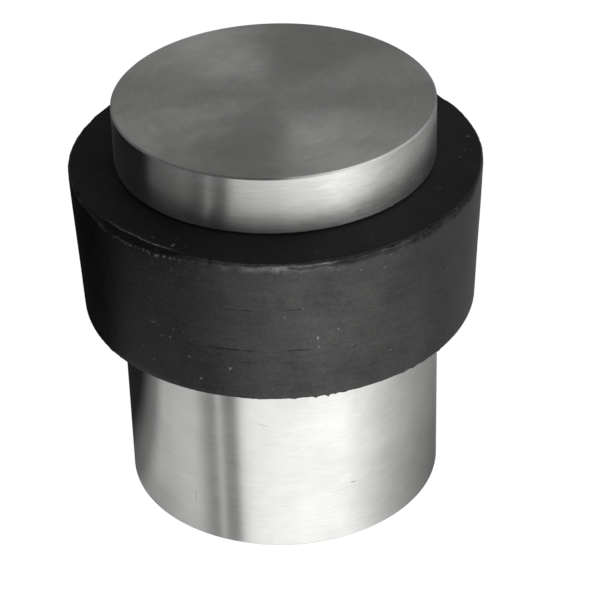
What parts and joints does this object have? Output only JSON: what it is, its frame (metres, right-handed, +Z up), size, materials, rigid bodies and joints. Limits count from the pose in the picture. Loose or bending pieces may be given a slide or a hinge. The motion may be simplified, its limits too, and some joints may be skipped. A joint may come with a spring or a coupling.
{
  "type": "floor door stop",
  "caption": "Cylindrical floor-mounted door stop: brushed stainless body and head with a thick black rubber buffer ring between them, fixed down through a concealed base disc.",
  "frame": {"origin": "centre of the body's base, at floor level", "axes": "+Z up along the axis of the stop; +Y towards the back, where the grub screw is; +X to the right when the stop is seen from the front"},
  "size_m": [0.0384, 0.0384, 0.04],
  "materials": {
    "brushed_stainless": "brushed round the axis, turned rings on the top face",
    "buffer_rubber": "matt moulded rubber with trimmed flash",
    "plated_steel": "bright zinc plated",
    "bush_aluminium": "as turned",
    "black_oxide_steel": "black oxide, satin"
  },
  "bodies": {
    "floor_base": {"base_disc": "plated_steel"},
    "stop_body": {"body_sleeve": "brushed_stainless", "neck_bush": "bush_aluminium", "head_cap": "brushed_stainless", "centre_screw": "black_oxide_steel", "flat_washer": "plated_steel", "lock_washer": "plated_steel"},
    "buffer": {"buffer_ring": "buffer_rubber"},
    "grub": {"grub_screw": "black_oxide_steel"}
  },
  "joints": [
    {"name": "stop_lift", "type": "slide", "parent": "floor_base", "child": "stop_body", "axis": [0, 0, 1], "range_m": [0, 0.02]},
    {"name": "buffer_turn", "type": "hinge", "parent": "stop_body", "child": "buffer", "pos_m": [0, 0, 0.0269], "axis": [0, 0, 1], "continuous": true},
    {"name": "grub_back_off", "type": "slide", "parent": "stop_body", "child": "grub", "axis": [0, 1, 0], "range_m": [0, 0.002]}
  ]
}
